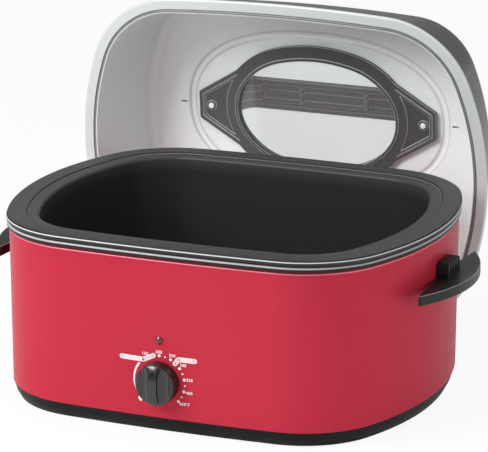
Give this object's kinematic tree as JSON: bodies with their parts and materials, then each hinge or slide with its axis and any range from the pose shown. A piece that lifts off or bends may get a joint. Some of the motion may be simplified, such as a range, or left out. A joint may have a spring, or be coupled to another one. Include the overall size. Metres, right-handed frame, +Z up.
{
  "type": "electric roaster oven",
  "caption": "Countertop electric roaster oven with lift-out pan and rack, end handles, a front dial, and a windowed dome lid standing behind it.",
  "frame": {"origin": "on the table, under the middle of the base", "axes": "+X towards the right-hand handle seen from the front, -Y the front with the dial, +Z up"},
  "size_m": [0.6033, 0.6757, 0.4103],
  "materials": {
    "base_plastic": "fine texture",
    "bezel_plastic": "phenolic",
    "blanket_fibre": "glass fibre felt",
    "collar_paint": "satin black",
    "frame_plastic": "phenolic",
    "gasket_rubber": "silicone",
    "gland_rubber": "moulded",
    "handle_plastic": "fine texture",
    "heater_mica": "mica and glass cloth",
    "holder_plastic": "moulded",
    "insert_steel": "pressed",
    "knob_plastic": "polished",
    "lamp_lens": "translucent",
    "lid_enamel": "black outside, light grey inside",
    "lid_handle_plastic": "phenolic",
    "lid_rim_enamel": "satin grey",
    "nut_brass": "plain",
    "pan_enamel": "satin dark non-stick",
    "plate_steel": "mill finish",
    "rack_chrome": "bright plated",
    "red_paint": "satin metallic red",
    "rubber_feet": "matt rubber",
    "screw_steel": "zinc plated",
    "shaft_steel": "turned",
    "shield_steel": "galvanised",
    "spacer_ceramic": "unglazed",
    "strap_steel": "mill finish",
    "terminal_ceramic": "unglazed",
    "thermostat_plastic": "phenolic",
    "well_steel": "aluminised",
    "window_glass": "tempered"
  },
  "bodies": {
    "housing": {"base_screws": "screw_steel", "base_tray": "base_plastic", "cable_gland": "gland_rubber", "foot_1": "rubber_feet", "foot_2": "rubber_feet", "foot_3": "rubber_feet", "foot_4": "rubber_feet", "handle_left": "handle_plastic", "handle_plate_left": "plate_steel", "handle_plate_right": "plate_steel", "handle_right": "handle_plastic", "handle_screws": "screw_steel", "heat_shield": "shield_steel", "heater_band": "heater_mica", "heater_strap_1": "strap_steel", "heater_strap_2": "strap_steel", "inner_well": "well_steel", "insulation_blanket": "blanket_fibre", "lamp_holder": "holder_plastic", "lamp_lens": "lamp_lens", "outer_shell": "red_paint", "terminal_block": "terminal_ceramic", "thermostat": "thermostat_plastic", "thermostat_nut": "nut_brass", "top_collar": "collar_paint", "well_spacer_1": "spacer_ceramic", "well_spacer_2": "spacer_ceramic", "well_spacer_3": "spacer_ceramic", "well_spacer_4": "spacer_ceramic"},
    "pan": {"roasting_pan": "pan_enamel"},
    "rack": {"wire_rack": "rack_chrome"},
    "knob": {"control_knob": "knob_plastic", "knob_insert": "insert_steel", "thermostat_shaft": "shaft_steel"},
    "lid": {"lid_handle": "lid_handle_plastic", "lid_rim": "lid_rim_enamel", "lid_screws": "screw_steel", "lid_shell": "lid_enamel", "window_bezel": "bezel_plastic", "window_frame": "frame_plastic", "window_gasket": "gasket_rubber", "window_glass": "window_glass"}
  },
  "joints": [
    {"name": "pan_lift", "type": "slide", "parent": "housing", "child": "pan", "axis": [0, 0, 1], "range_m": [0, 0.175]},
    {"name": "rack_lift", "type": "slide", "parent": "pan", "child": "rack", "axis": [0, 0, 1], "range_m": [0, 0.17]},
    {"name": "lid_lift", "type": "slide", "parent": "housing", "child": "lid", "axis": [0, 0, 1], "range_m": [0, 0.24]},
    {"name": "knob_turn", "type": "hinge", "parent": "housing", "child": "knob", "pos_m": [-0.006, -0.214, 0.062], "axis": [0, 1, 0], "range_deg": [-128, 135]}
  ]
}
